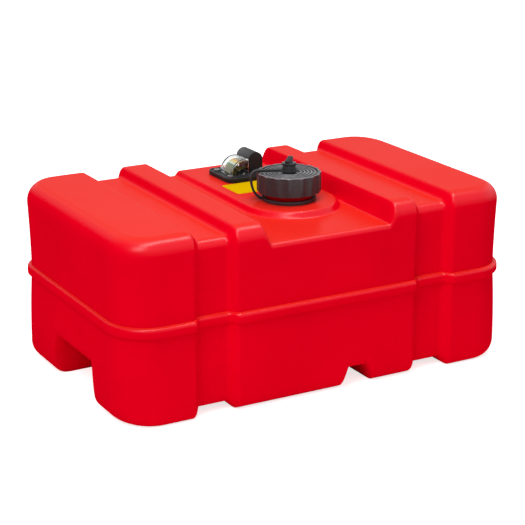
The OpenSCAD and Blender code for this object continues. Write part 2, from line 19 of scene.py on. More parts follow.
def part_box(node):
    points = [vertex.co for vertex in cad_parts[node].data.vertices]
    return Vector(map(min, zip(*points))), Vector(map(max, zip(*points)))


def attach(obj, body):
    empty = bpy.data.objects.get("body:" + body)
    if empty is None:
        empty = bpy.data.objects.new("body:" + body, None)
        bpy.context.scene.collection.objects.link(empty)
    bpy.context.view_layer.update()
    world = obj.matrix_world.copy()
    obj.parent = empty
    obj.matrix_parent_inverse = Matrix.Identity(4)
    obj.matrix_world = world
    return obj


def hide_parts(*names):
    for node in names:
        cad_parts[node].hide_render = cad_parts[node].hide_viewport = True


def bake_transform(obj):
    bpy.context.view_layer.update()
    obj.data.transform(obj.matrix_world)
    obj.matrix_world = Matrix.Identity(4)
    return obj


bl_info = {
    "name": "Outboard Fuel Tank",
    "version": (1, 0, 0),
    "blender": (4, 5, 0),
    "location": "View3D > Sidebar > Fuel Tank",
    "description": "A portable marine fuel tank with a screw cap, a float gauge and an outlet",
    "category": "Object",
}

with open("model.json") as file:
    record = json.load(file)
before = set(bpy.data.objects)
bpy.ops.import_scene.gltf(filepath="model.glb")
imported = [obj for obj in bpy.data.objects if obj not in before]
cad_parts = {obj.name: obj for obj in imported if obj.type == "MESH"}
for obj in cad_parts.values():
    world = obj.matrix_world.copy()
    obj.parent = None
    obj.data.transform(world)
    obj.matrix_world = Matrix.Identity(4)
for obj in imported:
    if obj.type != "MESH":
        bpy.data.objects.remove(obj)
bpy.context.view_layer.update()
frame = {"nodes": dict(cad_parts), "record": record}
MM = 0.001


def size(name, words, value):
    """A length in metres for the sidebar, given in millimetres."""
    return FloatProperty(name=name, description=words, default=value * MM, precision=4,
                         subtype="DISTANCE", unit="LENGTH")


def paint(name, words, *rgb):
    """A colour for the sidebar."""
    return FloatVectorProperty(name=name, description=words, default=rgb, size=3,
                               min=0.0, max=1.0, subtype="COLOR")


def in_mm(group):
    """The lengths of a property group as plain numbers in millimetres."""
    return SimpleNamespace(**{key: getattr(group, key) / MM for key in group.__annotations__})


# ---- Sizes and colours ----------------------------------------------------
class TankSizes(bpy.types.PropertyGroup):
    length: size("Length", "Length of the body between its end walls", 608)
    width: size("Width", "Width of the body from front to back", 372)
    height: size("Height", "Height of the body to the tops of its ridges", 259)
    wall: size("Wall", "Wall thickness of the moulding", 4.5)
    corner: size("Corner radius", "Plan radius of the four upright corners", 55)
    bead_z: size("Bead height", "Height of the parting bead", 134)
    bead_out: size("Bead depth", "How far the parting bead stands out", 6)
    groove_x: size("Groove place", "Distance of each strap groove from the middle", 172.5)
    groove_floor: size("Groove floor", "Width of the flat floor of a groove", 40)
    groove_d: size("Groove depth", "Depth of the strap grooves", 13.5)
    shift_x: size("Groove shift", "How far the grooves in the top lie to the right", 2.5)
    recess_d: size("Recess depth", "Depth of the middle recess", 29)
    recess_left: size("Recess left", "Reach of the recess to the left", 95)
    recess_right: size("Recess right", "Reach of the recess to the right", 103)
    hold_h: size("Hold height", "Height of the hand holds", 58)
    hold_half: size("Hold half width", "Half the width of the hand holds", 69)
    hold_mid: size("Hold place", "Place of the hand holds along the ends", -13)
    hold_in: size("Hold depth", "How far the hand holds reach in", 62)


class FillerSizes(bpy.types.PropertyGroup):
    x: size("Across", "Distance of the filler axis to the right of the middle", 23)
    y: size("Along", "Distance of the filler axis behind the middle", -36)
    deck_z: size("Deck height", "Height of the raised deck", 240)
    deck_r: size("Deck radius", "Radius of the deck round the filler", 68)
    neck_r: size("Neck radius", "Radius of the neck at the root of its thread", 34)
    neck_bore: size("Neck bore", "Radius of the bore of the neck", 29)
    neck_h: size("Neck height", "Height of the neck above the deck", 32)
    cap_r: size("Cap radius", "Outer radius of the screw cap", 46)
    cap_h: size("Cap height", "Height of the screw cap", 28)
    pitch: size("Thread pitch", "Rise of the thread in one turn", 6)


class GaugeSizes(bpy.types.PropertyGroup):
    x: size("Across", "Distance of the gauge to the right of the middle", 21)
    y: size("Along", "Distance of the gauge behind the middle", 111)


class Colours(bpy.types.PropertyGroup):
    red: paint("Tank", "Colour of the moulding", 0.76, 0.0, 0.012)
    black: paint("Cap", "Colour of the cap", 0.022, 0.021, 0.023)
    charcoal: paint("Gauge", "Colour of the gauge plate and its tower", 0.012, 0.012, 0.0135)
    yellow: paint("Label", "Colour of the label", 0.68, 0.42, 0.0)
    olive: paint("Dial", "Colour of the dial drum", 0.16, 0.15, 0.05)


class ViewChoices(bpy.types.PropertyGroup):
    azimuth: FloatProperty(name="Azimuth", description="Turn of the camera about the tank",
                           default=math.radians(-28.975), subtype="ANGLE", unit="ROTATION")
    elevation: FloatProperty(name="Elevation", description="Height angle of the camera",
                             default=math.radians(17.891), subtype="ANGLE", unit="ROTATION")
    roll: FloatProperty(name="Roll", description="Roll of the camera about its line of sight",
                        default=math.radians(-0.074), subtype="ANGLE", unit="ROTATION")
    place: FloatVectorProperty(name="Place", description="Place of the camera",
                               default=(-1.11932, -2.02079, 0.88332), subtype="XYZ", unit="LENGTH")
    focal_px: FloatProperty(name="Focal length", description="Focal length in picture widths",
                            default=1661.475 / 525)


# ---- Shader maths ---------------------------------------------------------
class Value:
    """A shader socket that takes part in Python arithmetic."""

    def __init__(self, tree, socket):
        self.tree = tree
        self.socket = socket

    def maths(self, operation, *values, clamp=False):
        """A Math node on these values, in the tree of this one."""
        node = self.tree.nodes.new("ShaderNodeMath")
        node.operation = operation
        node.use_clamp = clamp
        for slot, value in zip(node.inputs, values):
            feed(self.tree, slot, value)
        return Value(self.tree, node.outputs[0])

    def __add__(self, other):
        return self.maths("ADD", self, other)

    def __sub__(self, other):
        return self.maths("SUBTRACT", self, other)

    def __rsub__(self, other):
        return self.maths("SUBTRACT", other, self)

    def __mul__(self, other):
        return self.maths("MULTIPLY", self, other)

    def __lt__(self, other):
        return self.maths("LESS_THAN", self, other)

    def __gt__(self, other):
        return self.maths("GREATER_THAN", self, other)

    def __abs__(self):
        return self.maths("ABSOLUTE", self)

    __radd__ = __add__
    __rmul__ = __mul__

    def step(self, low, high):
        """0 below low, 1 above high, straight between."""
        return self.maths("MULTIPLY", self - low, 1 / (high - low), clamp=True)


def feed(tree, slot, value):
    """Links a socket or sets a plain value."""
    if isinstance(value, Value):
        tree.links.new(value.socket, slot)
    else:
        slot.default_value = value


class Tree:
    """A node tree, cleared, and the one way in which nodes are added to it."""

    def __init__(self, tree):
        self.tree = tree
        tree.nodes.clear()

    def node(self, kind, settings=None, values=None, out=0):
        """A node of any type: settings first, a ramp's stops among them, then its sockets.

        It returns one of the node's outputs, or with out=None the node itself.
        """
        made = self.tree.nodes.new(kind)
        for key, value in (settings or {}).items():
            if key == "stops":
                for element, (place, colour) in zip(made.color_ramp.elements, value):
                    element.position = place
                    element.color = colour
                for place, colour in value[2:]:
                    made.color_ramp.elements.new(place).color = colour
            elif key == "interpolation":
                made.color_ramp.interpolation = value
            else:
                setattr(made, key, value)
        for key, value in (values or {}).items():
            feed(self.tree, made.inputs[key], value)
        return made if out is None else Value(self.tree, made.outputs[out])

    def seen_by(self, *kinds):
        """1 for rays of any of these kinds and 0 for the rest."""
        rays = [self.node("ShaderNodeLightPath", out=f"Is {kind} Ray") for kind in kinds]
        seen = rays[0]
        for ray in rays[1:]:
            seen = seen.maths("MAXIMUM", seen, ray)
        return seen


class Finish(Tree):
    """A material, its node tree and its shader."""

    def __init__(self, name, **surface):
        self.material = bpy.data.materials.new(name)
        self.material.use_nodes = True
        super().__init__(self.material.node_tree)
        self.shader = self.node("ShaderNodeBsdfPrincipled")
        self.output = self.node("ShaderNodeOutputMaterial", values={0: self.shader}, out=None)
        self.set(**surface)

    def set(self, **surface):
        """Values and links of the shader's sockets, with _ for the spaces in their names."""
        for key, value in surface.items():
            feed(self.tree, self.shader.socket.node.inputs[key.replace("_", " ")], value)

    def place(self):
        """Where a point lies on the object, in metres."""
        return self.node("ShaderNodeTexCoord", out="Object")

    def axes(self):
        """The three parts of that place."""
        parts = self.node("ShaderNodeSeparateXYZ", values={0: self.place()})
        return [Value(self.tree, parts.socket.node.outputs[i]) for i in range(3)]

    def facing(self, axis):
        """The part along an axis, 0 to 2, of the way the surface of the object faces."""
        normal = self.node("ShaderNodeTexCoord", out="Normal")
        return self.node("ShaderNodeSeparateXYZ", values={0: normal}, out=axis)

    def noise(self, scale, detail, rough=0.5):
        """Cloudy noise from 0 to 1."""
        return self.node("ShaderNodeTexNoise", values={
            "Vector": self.place(), "Scale": scale, "Detail": detail, "Roughness": rough})

    def specks(self, scale):
        """Distance from the middle of each of many small cells."""
        return self.node("ShaderNodeTexVoronoi", values={"Vector": self.place(), "Scale": scale})

    def blend(self, amount, low, high):
        """A colour between two others."""
        return self.node("ShaderNodeMix", {"data_type": "RGBA"}, {0: amount, 6: low, 7: high},
                         out=2)

    def relief(self, height, depth, strength):
        """Bumps the surface by a height in parts of depth, in metres."""
        self.set(Normal=self.node("ShaderNodeBump", values={
            "Strength": strength, "Distance": depth, "Height": height}))

    def edges(self, width):
        """1 on edges and 0 on open surface."""
        crease = self.node("ShaderNodeBevel", {"samples": 4}, {"Radius": width})
        flat = self.node("ShaderNodeNewGeometry", out="Normal")
        apart = self.node("ShaderNodeVectorMath", {"operation": "DOT_PRODUCT"},
                          {0: crease, 1: flat}, out="Value")
        return (1 - apart).step(0.02, 0.3)


def rgba(colour, gain=1.0):
    """A colour made lighter or darker, with its alpha."""
    return (*[min(1.0, part * gain) for part in colour], 1.0)


# ---- Finishes -------------------------------------------------------------
WHITE = (1.0, 1.0, 1.0, 1.0)
BRASS = (0.72, 0.52, 0.2)
STEEL = (0.6, 0.6, 0.62)
SCREW_STEEL = (0.3, 0.3, 0.31)
SEAL_BLACK = (0.03, 0.03, 0.03)
PAINTED_LIGHT_GREEN = 0.019  # the green added to the red on the upper faces: painted light on the tops


def tank_plastic(colour, name="tank_red", gain=1.0):
    """Satin polyethylene: orange peel, mottling, upper faces painted paler as painted light, and
    shining upper edges.
    """
    made = Finish(name, Specular_IOR_Level=0.0, Coat_Roughness=0.27)
    up = made.facing(2)
    fore = 1 - abs(made.facing(0)).step(0.35, 0.8)
    cloud = made.noise(9.0, 4.0)
    fine = made.noise(420.0, 2.0)
    peel = made.noise(95.0, 2.0)
    mottled = made.blend(cloud.step(0.3, 0.75), rgba(colour, 0.95 * gain),
                         rgba(colour, 1.05 * gain))
    painted_top_light = rgba((colour[0], PAINTED_LIGHT_GREEN, colour[2]), gain)
    edge_shine = fore * up.step(0.1, 0.5) * 0.7
    flat_loss = up.step(0.8, 0.98) * (0.56 - 0.12 * cloud)
    # Faces that point up, other than those facing the ends, get the paler red: painted light on the
    # tops.
    made.set(Base_Color=made.blend(fore * up.step(0.7, 0.98), mottled, painted_top_light),
             Roughness=0.36 + 0.08 * cloud + 0.04 * fine,
             Coat_Weight=edge_shine - flat_loss)
    made.relief(peel * 0.7 + fine * 0.3, 0.00025, 0.35)
    return made.material


def moulded_plastic(name, colour, rough=0.42, grain=0.35, shine=0.4, wear_glint_gain=4.0, glint=0.5,
                    crest=None):
    """Semi-matt black moulding: fine grain, paler edges (wear and painted glint), glints on upper
    edges.

    crest, if given, is a pair of heights in metres: what reaches the second is painted pale, a
    painted glint.
    """
    made = Finish(name, Specular_IOR_Level=shine, Coat_Roughness=0.08)
    up = made.facing(2)
    cloud = made.noise(60.0, 3.0)
    fine = made.noise(1500.0, 2.0)
    worn = made.noise(300.0, 2.0).step(0.45, 0.65)
    # Edges are painted paler: wear, and at a high gain painted glints; ridge tops above crest are
    # painted pale as glints.
    wear_and_glint = made.edges(0.0009) * (0.35 + 0.5 * worn)
    if crest:
        z = made.axes()[2]
        wear_and_glint = wear_and_glint.maths("MAXIMUM", wear_and_glint, z.step(*crest) * (z < 2 * crest[1] - crest[0]))
    plain = made.blend(worn * 0.35 + cloud * 0.3, rgba(colour), rgba(colour, 1.9))
    made.set(Base_Color=made.blend(wear_and_glint, plain, rgba(colour, wear_glint_gain)),
             Roughness=rough - 0.07 + 0.14 * cloud + 0.05 * fine,
             Coat_Weight=up.step(0.15, 0.4) * (1 - up.step(0.85, 0.97)) * glint)
    made.relief(fine, 0.00012, grain)
    return made.material


def strap_rubber(name, colour):
    """Flexible strap: softer sheen and faint flow lines."""
    made = Finish(name, Specular_IOR_Level=0.15)
    cloud = made.noise(90.0, 3.0)
    made.set(Base_Color=made.blend(cloud, rgba(colour), rgba(colour, 1.6)),
             Roughness=0.48 + 0.12 * cloud)
    made.relief(made.noise(900.0, 2.0), 0.0001, 0.3)
    return made.material


def label_film(colour):
    """Plain matt film with slight scuffs."""
    made = Finish("label_yellow", Specular_IOR_Level=0.0)
    scuff = made.noise(140.0, 5.0, 0.7).step(0.55, 0.8)
    made.set(Base_Color=made.blend(scuff, rgba(colour), rgba(colour, 0.8)),
             Roughness=0.32 + 0.3 * scuff)
    made.relief(made.noise(60.0, 2.0), 0.0001, 0.2)
    return made.material


def clear_plastic():
    """Clear lens with faint moulding ripples."""
    made = Finish("lens_clear", Base_Color=(0.93, 0.95, 0.95, 1.0), Roughness=0.04, IOR=1.45,
                  Transmission_Weight=1.0)
    made.relief(made.noise(70.0, 2.0), 0.0002, 0.15)
    return made.material


def dial_print(colour):
    """Printed dial: bands of colour round the drum."""
    made = Finish("dial_print", Roughness=0.5)
    x, _, z = made.axes()
    low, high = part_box("dial_axle")
    turn = made.node("ShaderNodeMath", {"operation": "ARCTAN2"},
                     {0: z - (low.z + high.z) / 2, 1: x - (low.x + high.x) / 2})
    bands = made.node("ShaderNodeValToRGB", {"interpolation": "CONSTANT", "stops": [
        (0.0, rgba(colour)), (1.0, rgba(colour)), (0.55, (0.55, 0.25, 0.02, 1.0)),
        (0.62, (0.75, 0.55, 0.05, 1.0)), (0.68, (0.7, 0.7, 0.62, 1.0)),
        (0.74, (0.08, 0.2, 0.05, 1.0)), (0.8, rgba(colour))]}, {0: turn.step(0.0, math.pi)})
    made.set(Base_Color=bands)
    return made.material


def turned_metal(name, colour, rough=0.3):
    """Turned or plated metal with fine tool marks and dull patches."""
    made = Finish(name, Metallic=1.0)
    cloud = made.noise(200.0, 3.0)
    made.set(Base_Color=made.blend(cloud, rgba(colour), rgba(colour, 0.75)),
             Roughness=rough + 0.2 * cloud)
    made.relief(made.noise(2500.0, 2.0), 0.00005, 0.4)
    return made.material


def natural_plastic(name, colour):
    """Uncoloured tube plastic, slightly cloudy."""
    made = Finish(name, Specular_IOR_Level=0.45)
    cloud = made.noise(120.0, 3.0)
    made.set(Base_Color=made.blend(cloud, rgba(colour), rgba(colour, 0.85)),
             Roughness=0.4 + 0.2 * cloud)
    made.relief(made.noise(1200.0, 2.0), 0.0001, 0.3)
    return made.material


def foam():
    """Closed-cell float: pitted skin."""
    made = Finish("float_foam", Roughness=0.8, Specular_IOR_Level=0.3)
    cells = made.specks(900.0)
    made.set(Base_Color=made.blend(cells.step(0.1, 0.5), (0.02, 0.018, 0.016, 1.0),
                                   (0.07, 0.062, 0.055, 1.0)))
    made.relief(cells, 0.0003, 0.6)
    return made.material


# ---- Nodes of the frame ---------------------------------------------------
BODY_OF = {node: body for body, nodes in frame["record"]["behaviour"]["bodies"].items()
           for node in nodes}


def paint_node(node, material):
    """Gives a solid of the frame its material."""
    made = frame["nodes"][node]
    if not made.material_slots:
        made.data.materials.append(material)
    for slot in made.material_slots:
        slot.material = material


SOFT_SMOOTH = 35.0  # edges of a softened solid that are sharper than this, in degrees, stay crisp


def softened(node, name, material, width, steps=2, rides=True):
    """A piece of the shape of a solid with its sharp edges rounded, in place of that solid."""
    mesh = frame["nodes"][node].data.copy()
    mesh.materials.clear()
    work = bmesh.new()
    work.from_mesh(mesh)
    bmesh.ops.remove_doubles(work, verts=work.verts, dist=1e-6)
    bmesh.ops.dissolve_limit(work, angle_limit=math.radians(0.6), verts=work.verts,
                             edges=work.edges)
    sharp = [edge for edge in work.edges
             if len(edge.link_faces) == 2 and edge.calc_face_angle(0.0) > math.radians(30)]
    bmesh.ops.bevel(work, geom=sharp, offset=width * MM, segments=steps, profile=0.5,
                    affect="EDGES", clamp_overlap=True)
    work.to_mesh(mesh)
    work.free()
    made = dress(mesh, name, BODY_OF[node] if rides else None, material,
                 SOFT_SMOOTH)
    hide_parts(node)
    return made


# ---- Meshes ---------------------------------------------------------------
def piece(name, points, faces, body, material, smooth):
    """A mesh object in the part's own frame, from points in millimetres, riding on a body."""
    mesh = bpy.data.meshes.new(name)
    mesh.from_pydata([tuple(p * MM for p in q) for q in points], [], faces)
    mesh.validate()
    return dress(mesh, name, body, material, smooth)


def dress(mesh, name, body, material, smooth):
    """An object of a mesh with its material and slot, riding on a body if one is named."""
    made = bpy.data.objects.new(name, mesh)
    bpy.context.scene.collection.objects.link(made)
    made.data.materials.append(material)
    made.data.shade_smooth()
    mark_sharp(made.data, smooth)
    if body:
        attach(made, body)
    return made


def mark_sharp(mesh, angle):
    """Edges sharper than an angle in degrees stay crisp."""
    work = bmesh.new()
    work.from_mesh(mesh)
    bmesh.ops.recalc_face_normals(work, faces=work.faces)
    limit = math.radians(angle)
    for edge in work.edges:
        edge.smooth = len(edge.link_faces) == 2 and edge.calc_face_angle(0.0) < limit
    work.to_mesh(mesh)
    work.free()


def rings_to_faces(rings, count, loop=False):
    """Quads between rings of count points each; loop joins the last ring to the first."""
    faces = []
    for k in range(rings if loop else rings - 1):
        for i in range(count):
            a, b = k * count + i, k * count + (i + 1) % count
            c, d = ((k + 1) % rings) * count + (i + 1) % count, ((k + 1) % rings) * count + i
            faces.append((a, b, c, d))
    return faces


def lathe(profile, count, centre, bend):
    """Points and faces of a closed profile of (radius, z) turned about an upright axis.

    bend takes the angle and a profile point and returns its radius and z.
    """
    points = []
    for r, z in profile:
        for i in range(count):
            turn = 2 * math.pi * i / count
            rr, zz = bend(turn, r, z)
            points.append((centre[0] + rr * math.cos(turn), centre[1] + rr * math.sin(turn), zz))
    return points, rings_to_faces(len(profile), count, loop=True)


def rounded(corners, steps):
    """A closed outline of (x, y, radius) corners with each corner rounded to its radius."""
    out = []
    n = len(corners)
    for i, (x, y, r) in enumerate(corners):
        here = Vector((x, y))
        before = Vector(corners[i - 1][:2]) - here
        after = Vector(corners[(i + 1) % n][:2]) - here
        half = before.angle(after) / 2
        reach = min(r / math.tan(half), before.length * 0.49, after.length * 0.49)
        start = here + before.normalized() * reach
        end = here + after.normalized() * reach
        for k in range(steps + 1):
            t = k / steps
            p = start * (1 - t) ** 2 + here * (2 * t * (1 - t)) + end * t ** 2
            out.append((p.x, p.y))
    return out


# ---- Tank moulding --------------------------------------------------------
# Lengths below are in millimetres.
EDGE = 7.0  # half the run of a step in the moulding
HOLD_EDGE = 6  # the same at the sides of a hand hold
DECK_FOOT = 7.0  # run of the fillet round the deck
BEAD_HALF = 8.0  # half the height of the parting bead
BEAD_POWER = 5  # the higher, the squarer the bead
BEAD_LEVELS = (-8, -7.7, -7.2, -6.4, -5.2, -3, 0, 3, 5.2, 6.4, 7.2, 7.7, 8)  # its rings' heights
FADE_X = 16  # how fast the bends of the ends fade towards the middle
FADE_Y = 6  # and those of the front and back
NOTCH = SimpleNamespace(x=51.0, half=20.0, d=26.0)  # the channel across the underside
RECESS_FALL = 3  # how much shallower the recess is at the back
FOOT_GROOVE_LESS = 3  # how much shallower the grooves are underneath
SUNK_LESS = 1  # and up the front and back
# Radius of the upper edge, and how much less it is in the recess and in the grooves.
TOP_R = SimpleNamespace(back=14, front=24, end=27)
TOP_R_LESS = SimpleNamespace(back_recess=7, back_groove=6, front_recess=16, front_groove=10)
# Radius of the lower edge, and how much less it is from the grooves outward and at a hand hold.
FOOT_R = SimpleNamespace(side=20, outer_less=7, end=24, hold_less=5)
LEAST_R = 3  # and neither is ever less than this
# Over this run the walls come out by so much above the bead and below it, more on the ends.
SWELL = SimpleNamespace(run=110, up=3, down=2, down_end=3)
HOLE_Z = 200  # holes are cut only above this
NECK_LAP = 2.2  # how far the hole reaches under the neck
GAUGE_HOLE = 26  # radius of the hole under the gauge
THREAD_DEEP = 3.6  # how far a thread stands out


def step_up(v, c, w):
    """A smooth step from 0 to 1 about c, over w each way."""
    t = np.clip((v - c) / w, -1, 1)
    return 0.5 + 0.75 * t - 0.25 * t ** 3


def band(v, lo, hi, w):
    """1 between lo and hi and 0 outside, with smooth steps."""
    return step_up(v, lo, w) * (1 - step_up(v, hi, w))


class Moulding:
    """The shape of the tank as formulas of place, d inside its outer skin."""

    def __init__(self, tank, filler, d=0.0):
        self.t = tank
        self.f = filler
        self.d = d
        self.half_l = tank.length / 2
        self.half_w = tank.width / 2
        self.groove_half = tank.groove_floor / 2 + EDGE

    def in_groove(self, x, d=None):
        """1 in a strap groove and 0 outside, with smooth steps."""
        d = self.d if d is None else d
        reach = self.groove_half + d
        return band(abs(x), self.t.groove_x - reach, self.t.groove_x + reach, EDGE)

    def in_recess(self, x, d=None):
        """The same for the recess across the middle of the top."""
        d = self.d if d is None else d
        return band(x, -self.t.recess_left - d, self.t.recess_right + d, EDGE)

    def in_notch(self, x):
        """The same for the channel across the underside."""
        return band(x, NOTCH.x - NOTCH.half - self.d, NOTCH.x + NOTCH.half + self.d, EDGE)

    def in_hold(self, x, y):
        """The same for the hand holds under the ends."""
        return (step_up(abs(x), self.half_l - self.t.hold_in - self.d, EDGE)
                * (1 - step_up(abs(y - self.t.hold_mid), self.t.hold_half + self.d, HOLD_EDGE)))

    def deck_gap(self, x, y):
        """Distance outside the flat top of the deck."""
        dx = x - self.f.x
        dy = np.minimum(y - self.f.y, 0)
        return np.hypot(dx, dy) - self.f.deck_r + self.d

    def top_z(self, x, y):
        """Height of the top."""
        t = self.t
        fall = RECESS_FALL * (self.half_w + y) / t.width
        floor = (t.height - self.d - t.groove_d * self.in_groove(x - t.shift_x)
                 - (t.recess_d - fall) * self.in_recess(x))
        rise = np.maximum(self.f.deck_z - self.d - floor, 0)
        slope = step_up(self.deck_gap(x, y), DECK_FOOT / 2 - 1, DECK_FOOT / 2 + 1)
        return floor + rise * (1 - slope)

    def foot_z(self, x, y):
        """Height of the underside."""
        t = self.t
        return (self.d + (t.groove_d - FOOT_GROOVE_LESS) * self.in_groove(x)
                + NOTCH.d * self.in_notch(x) + t.hold_h * self.in_hold(x, y))

    def top_r(self, x, nx, ny):
        """Radius of the upper edge at x, on a wall that faces nx, ny."""
        cut = self.in_groove(x - self.t.shift_x, 0)
        mid = self.in_recess(x, 0)
        less = TOP_R_LESS
        along = np.where(ny > 0, TOP_R.back - less.back_recess * mid - less.back_groove * cut,
                         TOP_R.front - less.front_recess * mid - less.front_groove * cut)
        return np.maximum(LEAST_R, along + (TOP_R.end - along) * nx * nx - self.d)

    def foot_r(self, x, nx, z):
        """Radius of the lower edge at x, where the underside is at z."""
        outer = step_up(abs(x), self.t.groove_x - self.groove_half, EDGE)
        along = FOOT_R.side - FOOT_R.outer_less * outer
        raised = FOOT_R.hold_less * (z - self.d) / self.t.hold_h
        return np.maximum(LEAST_R, along + (FOOT_R.end - along) * nx * nx - raised - self.d)

    def swell(self, z, nx):
        """How far the wall stands out at z past its size at the bead."""
        s = (z - self.t.bead_z) / SWELL.run
        down = SWELL.down + SWELL.down_end * nx * nx
        return np.where(s > 0, SWELL.up * s * s, down * -s * (2 + s))

    def level(self, q, kind, a):
        """Points of the skin at one level of the outline q, an array of x, y, nx and ny."""
        x, y, nx, ny = q.T
        zb = self.foot_z(x, y)
        rb = self.foot_r(x, nx, zb)
        zt = self.top_z(x, y)
        rt = self.top_r(x, nx, ny)
        lo = self.t.bead_z - BEAD_HALF
        hi = self.t.bead_z + BEAD_HALF
        zero = np.zeros_like(x)
        sunk_in = zero
        bead = zero
        if kind == "foot":
            z = zb + rb * (1 - math.sin(a))
            sunk_in = rb * (1 - math.cos(a))
        elif kind == "lower":
            z = zb + rb + (lo - zb - rb) * a
        elif kind == "bead":
            z = zero + self.t.bead_z + a
            if self.d == 0:
                bead = zero + self.t.bead_out * (1 - abs(a / BEAD_HALF) ** BEAD_POWER)
        elif kind == "upper":
            z = hi + (zt - rt - hi) * a
        else:
            z = zt - rt * (1 - math.sin(a))
            sunk_in = rt * (1 - math.cos(a))
        sunk = (self.t.groove_d - SUNK_LESS) * self.in_groove(x) * ny * ny
        off = self.d + sunk_in + sunk - bead - self.swell(z, nx)
        return np.stack([x - nx * off, y - ny * off, z], 1)


def stations(reach, steps, near, far, extra):
    """Places along a side: close together across each step and wide apart between."""
    places = {-reach, reach, *[e for e in extra if abs(e) < reach]}
    for centre, half in steps:
        count = max(2, round(2 * half / near))
        places |= {centre + half * (2 * i / count - 1) for i in range(count + 1)}
    places = sorted(p for p in places if abs(p) <= reach)
    kept = [places[0]]
    for p in places[1:]:
        if p - kept[-1] < near * 0.4:
            continue
        gap = p - kept[-1]
        parts = max(1, math.ceil(gap / far))
        kept += [kept[-1] + gap * (i + 1) / parts for i in range(parts)]
    kept[-1] = reach
    return kept


def side(places, corner, half_a, half_o, n):
    """One side of the outline with half a corner at each end: along, out and its slopes."""
    rows = []
    for i in range(n):
        a = math.radians(45 * (1 - i / n))
        rows.append((corner - half_a - corner * math.sin(a), half_o - corner + corner * math.cos(a),
                     -math.sin(a), math.cos(a)))
    rows += [(s, half_o, 0.0, 1.0) for s in places]
    for i in range(1, n + 1):
        a = math.radians(45 * i / n)
        rows.append((half_a - corner + corner * math.sin(a), half_o - corner + corner * math.cos(a),
                     math.sin(a), math.cos(a)))
    return rows


def skin(shape, near, far, n_edge, bead_steps, wall_steps):
    """Rings and grids of the closed skin: points and faces."""
    t, f = shape.t, shape.f
    w = EDGE + 1
    long_steps = ([(s * t.groove_x + e * shape.groove_half + t.shift_x / 2, w + 2)
                   for s in (-1, 1) for e in (-1, 1)]
                  + [(-t.recess_left, w), (t.recess_right, w)]
                  + [(NOTCH.x + s * NOTCH.half, w) for s in (-1, 1)]
                  + [(s * (shape.half_l - t.hold_in), w) for s in (-1, 1)]
                  + [(f.x + s * (f.deck_r + DECK_FOOT / 2), DECK_FOOT) for s in (-1, 1)])
    turn = 4 if near < 3 else 20  # degrees between stations round the deck
    dense = [f.x + f.deck_r * math.sin(math.radians(a)) for a in range(-85, 86, turn)]
    cross_steps = [(t.hold_mid + s * t.hold_half, HOLD_EDGE + 1) for s in (-1, 1)]
    front = [f.y - f.deck_r * math.cos(math.radians(a)) + o
             for a in range(0, 90, turn) for o in (-8, -4, 0)]
    fb = side(stations(shape.half_l - t.corner, long_steps, near, far, dense), t.corner,
              shape.half_l, shape.half_w, n_edge)
    lr = side(stations(shape.half_w - t.corner, cross_steps, near, far, front), t.corner,
              shape.half_w, shape.half_l, n_edge)
    a, b = len(fb) - 1, len(lr) - 1
    path = np.array([(q[0], -q[1], q[2], -q[3]) for q in fb[:a]]
                    + [(q[1], q[0], q[3], q[2]) for q in lr[:b]]
                    + [q for q in fb[:0:-1]]
                    + [(-q[1], q[0], -q[3], q[2]) for q in lr[:0:-1]])
    n = len(path)
    levels = [("foot", math.pi / 2 * (1 - i / n_edge)) for i in range(n_edge + 1)]
    levels += [("lower", i / wall_steps) for i in range(1, wall_steps)]
    levels += [("bead", b_z) for b_z in bead_steps]
    levels += [("upper", i / wall_steps) for i in range(1, wall_steps)]
    levels += [("top", math.pi / 2 * i / n_edge) for i in range(n_edge + 1)]
    rings = [shape.level(path, kind, amount) for kind, amount in levels]
    foot = inner_grid(rings[0], a, b)
    foot[:, 2] = shape.foot_z(foot[:, 0], foot[:, 1])
    top = inner_grid(rings[-1], a, b)
    top[:, 2] = shape.top_z(top[:, 0], top[:, 1])
    points = np.vstack(rings + [foot, top])
    faces = rings_to_faces(len(levels), n)
    g0 = len(levels) * n
    faces += grid_faces(a, b, 0, g0, False)
    faces += grid_faces(a, b, (len(levels) - 1) * n, g0 + len(foot), True)
    return points, faces


def inner_grid(ring, a, b):
    """Points inside a ring of a + b + a + b points; the bends of each side fade away from it."""
    n = len(ring)
    xy = ring[:, :2]
    c00, c10, c11, c01 = xy[0], xy[a], xy[a + b], xy[2 * a + b]
    out = []
    for i in range(1, a):
        front, back = xy[i], xy[2 * a + b - i]
        u = (front[0] - c00[0]) / (c10[0] - c00[0])
        j = np.arange(1, b)
        right, left = xy[a + j], xy[(n - j) % n]
        v = ((right[:, 1] - c10[1]) / (c11[1] - c10[1]))[:, None]
        flat = (1 - u) * (1 - v) * c00 + u * (1 - v) * c10 + u * v * c11 + (1 - u) * v * c01
        out.append(flat + (1 - v) ** FADE_Y * (front - (1 - u) * c00 - u * c10)
                   + v ** FADE_Y * (back - (1 - u) * c01 - u * c11)
                   + (1 - u) ** FADE_X * (left - (1 - v) * c00 - v * c01)
                   + u ** FADE_X * (right - (1 - v) * c10 - v * c11))
    grid = np.vstack(out)
    return np.hstack([grid, np.zeros((len(grid), 1))])


def grid_faces(a, b, r0, g0, up):
    """Quads that close a ring starting at point r0 with the inner grid starting at g0."""
    def at(i, j):
        """The point at step i across and step j back, on the ring at the sides."""
        if j == 0:
            return r0 + i
        if i == a:
            return r0 + a + j
        if j == b:
            return r0 + 2 * a + b - i
        if i == 0:
            return r0 + (2 * (a + b) - j) % (2 * (a + b))
        return g0 + (i - 1) * (b - 1) + j - 1
    faces = []
    for i in range(a):
        for j in range(b):
            quad = (at(i, j), at(i + 1, j), at(i + 1, j + 1), at(i, j + 1))
            faces.append(quad if up else quad[::-1])
    return faces


def open_holes(points, faces, holes):
    """Leaves out the faces whose middle lies over a hole of (x, y, radius, lowest z)."""
    kept = []
    for face in faces:
        mid = points[list(face)].mean(0)
        inside = any(math.hypot(mid[0] - x, mid[1] - y) < r and mid[2] > z for x, y, r, z in holes)
        if not inside:
            kept.append(face)
    return kept


